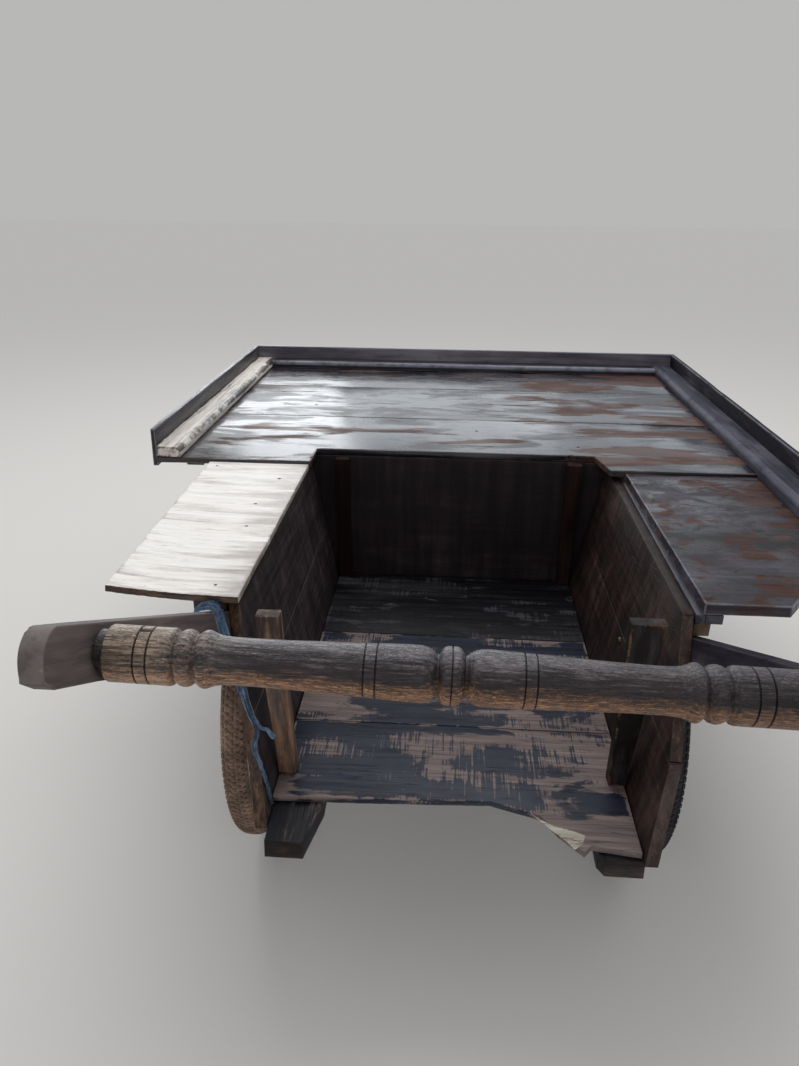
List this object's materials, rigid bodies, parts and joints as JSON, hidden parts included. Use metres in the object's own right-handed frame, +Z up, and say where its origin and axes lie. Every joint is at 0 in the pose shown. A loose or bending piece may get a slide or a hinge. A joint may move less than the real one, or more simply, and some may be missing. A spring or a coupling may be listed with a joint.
{
  "type": "hand cart",
  "caption": "Wooden hand cart with a dark planked table, a deep open bin, narrow side flaps, a turned handle bar between two arms and spoked wheels",
  "frame": {"origin": "on the ground, under the middle of the whole cart's outline", "axes": "+Y points away from the user at the handle, towards the table's far edge; +X is to the user's right; +Z is up"},
  "size_m": [1.415, 2.129, 0.9169],
  "materials": {
    "painted_wood": "old dark paint, worn and slightly glossy",
    "dark_wood": "weathered dark stain",
    "worn_wood": "blue-grey paint worn to pale wood",
    "bare_wood": "bare and weathered",
    "handle_wood": "turned, hand-worn and glossy",
    "cloth": "faded woven cloth",
    "tyre": "dusty black rubber",
    "rim_steel": "dull, lightly rusted",
    "hub_steel": "dull, lightly rusted",
    "axle_steel": "dull, lightly rusted"
  },
  "bodies": {
    "frame": {"arm_left": "dark_wood", "arm_right": "dark_wood", "axle": "axle_steel", "axle_block_left": "dark_wood", "axle_block_right": "dark_wood", "bin_front_wall": "painted_wood", "bin_wall_left_lower": "painted_wood", "bin_wall_left_upper": "painted_wood", "bin_wall_right_lower": "painted_wood", "bin_wall_right_upper": "painted_wood", "cloth_strip": "cloth", "corner_post_left": "bare_wood", "corner_post_right": "bare_wood", "end_post_left": "bare_wood", "end_post_right": "bare_wood", "flap_bearer_left": "dark_wood", "flap_bearer_right": "dark_wood", "flap_left": "painted_wood", "flap_right": "painted_wood", "floor_beam_left": "dark_wood", "floor_beam_right": "dark_wood", "floor_board_far": "worn_wood", "floor_board_middle": "worn_wood", "floor_board_near": "worn_wood", "front_leg_left": "dark_wood", "front_leg_right": "dark_wood", "handle": "handle_wood", "ledger_left": "worn_wood", "ledger_right": "worn_wood", "leg_rail": "dark_wood", "moulding_front": "painted_wood", "moulding_left": "painted_wood", "moulding_right": "painted_wood", "packing_block_left": "bare_wood", "packing_block_right": "bare_wood", "rim_front": "painted_wood", "rim_left": "painted_wood", "rim_right": "painted_wood", "table_batten_left": "painted_wood", "table_batten_right": "painted_wood", "table_bearer_left": "painted_wood", "table_bearer_right": "painted_wood", "table_plank_far": "painted_wood", "table_plank_middle": "painted_wood", "table_plank_near": "painted_wood"},
    "wheel_left": {"tyre_left": "tyre", "wheel_rim_left": "rim_steel", "hub_left": "hub_steel"},
    "wheel_right": {"tyre_right": "tyre", "wheel_rim_right": "rim_steel", "hub_right": "hub_steel"}
  },
  "joints": [
    {"name": "wheel_left_spin", "type": "hinge", "parent": "frame", "child": "wheel_left", "pos_m": [-0.405, -0.2105, 0.33], "axis": [1, 0, 0], "continuous": true},
    {"name": "wheel_right_spin", "type": "hinge", "parent": "frame", "child": "wheel_right", "pos_m": [0.384, -0.2105, 0.33], "axis": [1, 0, 0], "continuous": true}
  ]
}
